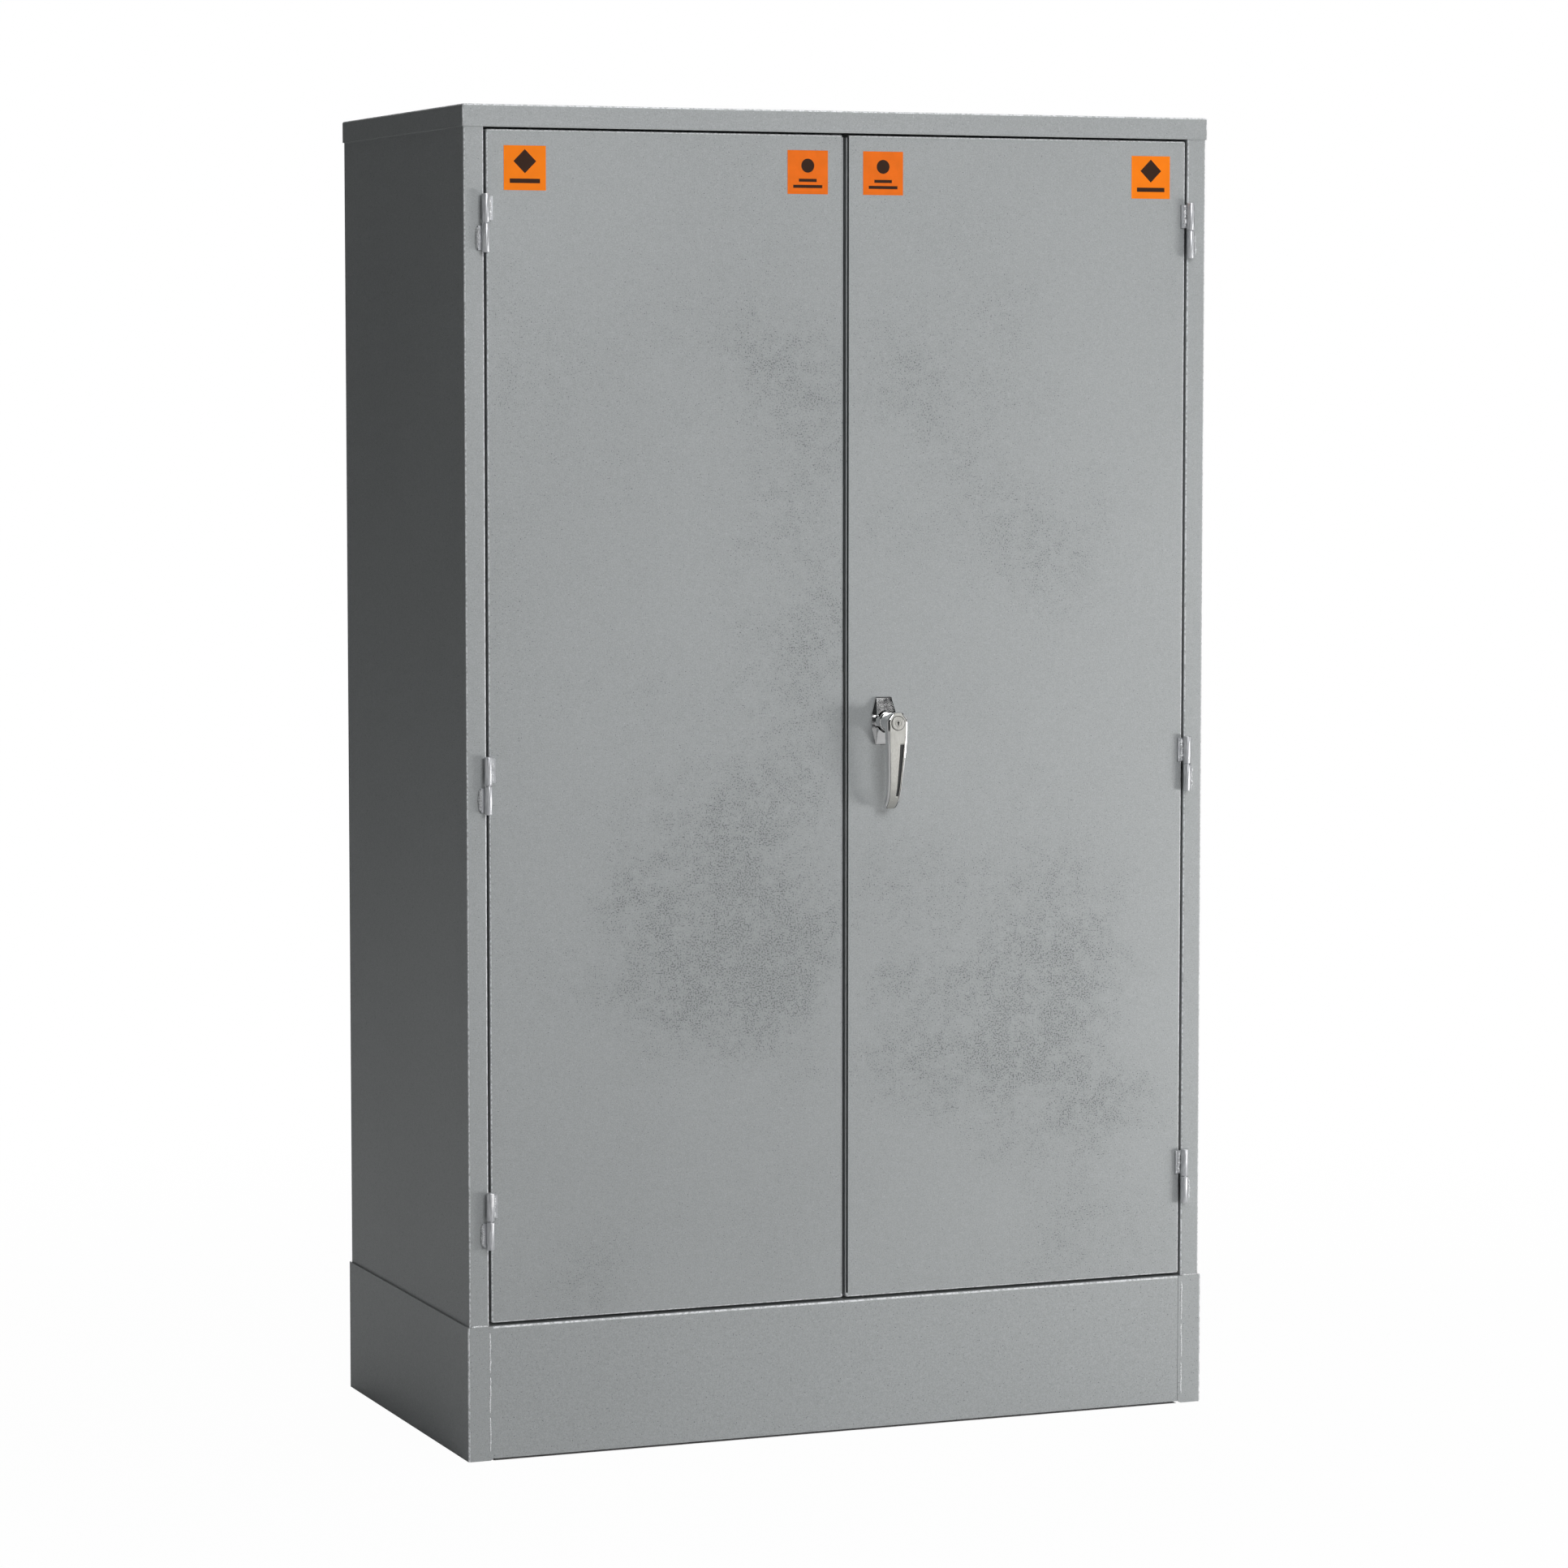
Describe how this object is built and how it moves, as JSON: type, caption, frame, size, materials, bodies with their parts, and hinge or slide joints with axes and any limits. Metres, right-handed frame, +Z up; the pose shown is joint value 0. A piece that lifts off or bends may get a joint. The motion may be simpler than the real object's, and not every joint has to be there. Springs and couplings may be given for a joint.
{
  "type": "flammable storage cabinet",
  "caption": "Tall steel cabinet with two hinged doors, a lever handle driving lock rods, adjustable tray shelves and a sump for keeping flammable liquids.",
  "frame": {"origin": "at floor level, on the centre line and halfway between the lever's face and the back of the plinth", "axes": "+X to the viewer's right facing the doors, +Y towards the back, +Z up"},
  "size_m": [0.92, 0.5065, 1.525],
  "materials": {
    "paint": "fine silver-grey textured powder coat",
    "galvanised": "satin zinc",
    "hinge_steel": "bright silver paint",
    "chrome": "polished",
    "label": null,
    "rubber": "matt black"
  },
  "bodies": {
    "carcass": {"side_panel_left": "paint", "side_panel_right": "paint", "back_panel": "paint", "top_cap": "paint", "door_head": "paint", "plinth_side_left": "paint", "plinth_side_right": "paint", "plinth_front": "paint", "plinth_back": "paint", "sump_tray": "paint", "upright_front_left": "paint", "upright_front_right": "paint", "upright_rear_left": "paint", "upright_rear_right": "paint", "shelf_lower": "paint", "shelf_middle": "paint", "shelf_upper": "paint", "shelf_clips": "galvanised", "frame_knuckles_left": "hinge_steel", "frame_knuckles_right": "hinge_steel", "hinge_pins_left": "hinge_steel", "hinge_pins_right": "hinge_steel", "upper_keep": "galvanised", "lower_keep": "galvanised", "door_buffers": "rubber"},
    "door_left": {"door_skin_left": "paint", "door_stiffener_left": "paint", "door_knuckles_left": "hinge_steel", "label_left_outer": "label", "label_left_inner": "label"},
    "door_right": {"door_skin_right": "paint", "door_stiffener_right": "paint", "door_knuckles_right": "hinge_steel", "label_right_inner": "label", "label_right_outer": "label", "escutcheon": "chrome", "lock_backplate": "galvanised", "escutcheon_screws": "galvanised", "rod_guides": "galvanised"},
    "handle": {"lever_handle": "chrome", "spindle": "galvanised", "cam": "galvanised", "cam_washer": "galvanised", "cam_screw": "galvanised", "lock_barrel": "chrome"},
    "lock_plug": {"lock_plug": "chrome"},
    "upper_rod": {"upper_rod": "galvanised"},
    "lower_rod": {"lower_rod": "galvanised"}
  },
  "joints": [
    {"name": "door_right_swing", "type": "hinge", "parent": "carcass", "child": "door_right", "pos_m": [0.4345, -0.21475, 0], "axis": [0, 0, 1], "range_deg": [0, 180]},
    {"name": "door_left_swing", "type": "hinge", "parent": "carcass", "child": "door_left", "pos_m": [-0.4345, -0.21475, 0], "axis": [0, 0, -1], "range_deg": [0, 180]},
    {"name": "handle_turn", "type": "hinge", "parent": "door_right", "child": "handle", "pos_m": [0.047, -0.20675, 0.82725], "axis": [0, -1, 0], "range_deg": [0, 90]},
    {"name": "lock_key_turn", "type": "hinge", "parent": "handle", "child": "lock_plug", "pos_m": [0.047, -0.25275, 0.82725], "axis": [0, -1, 0], "range_deg": [0, 90]},
    {"name": "upper_rod_slide", "type": "slide", "parent": "door_right", "child": "upper_rod", "axis": [0, 0, 1], "range_m": [0, 0.02122]},
    {"name": "lower_rod_slide", "type": "slide", "parent": "door_right", "child": "lower_rod", "axis": [0, 0, -1], "range_m": [0, 0.02122]}
  ],
  "couplings": [
    {"joint": "upper_rod_slide", "follows": "handle_turn", "m_per_rad": 0.013505},
    {"joint": "lower_rod_slide", "follows": "handle_turn", "m_per_rad": 0.013505}
  ]
}
